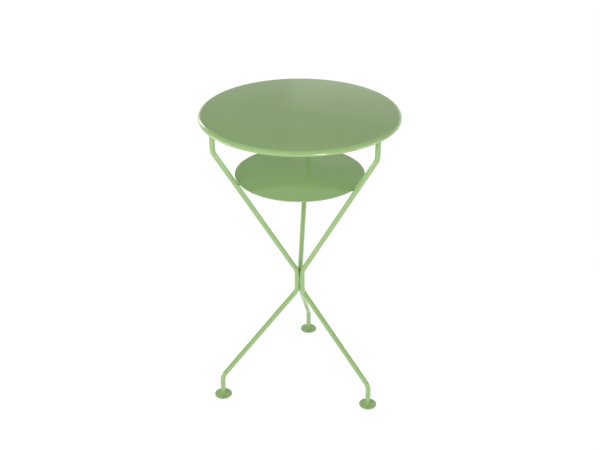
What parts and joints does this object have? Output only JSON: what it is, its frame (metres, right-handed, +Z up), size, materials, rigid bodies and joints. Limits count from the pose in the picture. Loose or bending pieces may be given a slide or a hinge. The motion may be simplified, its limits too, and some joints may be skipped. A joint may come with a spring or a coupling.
{
  "type": "bistro table",
  "caption": "Round metal bistro table with a small round lower shelf, on bent rod legs that meet at a narrow waist and end in round foot discs.",
  "frame": {"origin": "on the floor, under the middle of the table", "axes": "+Z up along the table's axis, +Y towards the rear leg, +X to the right seen from the front"},
  "size_m": [0.4499, 0.452, 0.716],
  "materials": {
    "green_coat": "gloss",
    "zinc_steel": "satin",
    "glide_plastic": "matte"
  },
  "bodies": {
    "root": {"bracket_front_left": "green_coat", "bracket_front_right": "green_coat", "bracket_rear": "green_coat", "bracket_welds": "green_coat", "foot_disc_front_left": "green_coat", "foot_disc_front_right": "green_coat", "foot_disc_rear": "green_coat", "foot_welds": "green_coat", "glide_front_left": "glide_plastic", "glide_front_right": "glide_plastic", "glide_rear": "glide_plastic", "leg_front_left": "green_coat", "leg_front_right": "green_coat", "leg_rear": "green_coat", "lower_shelf": "green_coat", "shelf_welds": "green_coat", "stud_nuts": "zinc_steel", "stud_washers": "zinc_steel", "tabletop_sheet": "green_coat", "waist_welds": "green_coat", "weld_studs": "zinc_steel"}
  },
  "joints": []
}
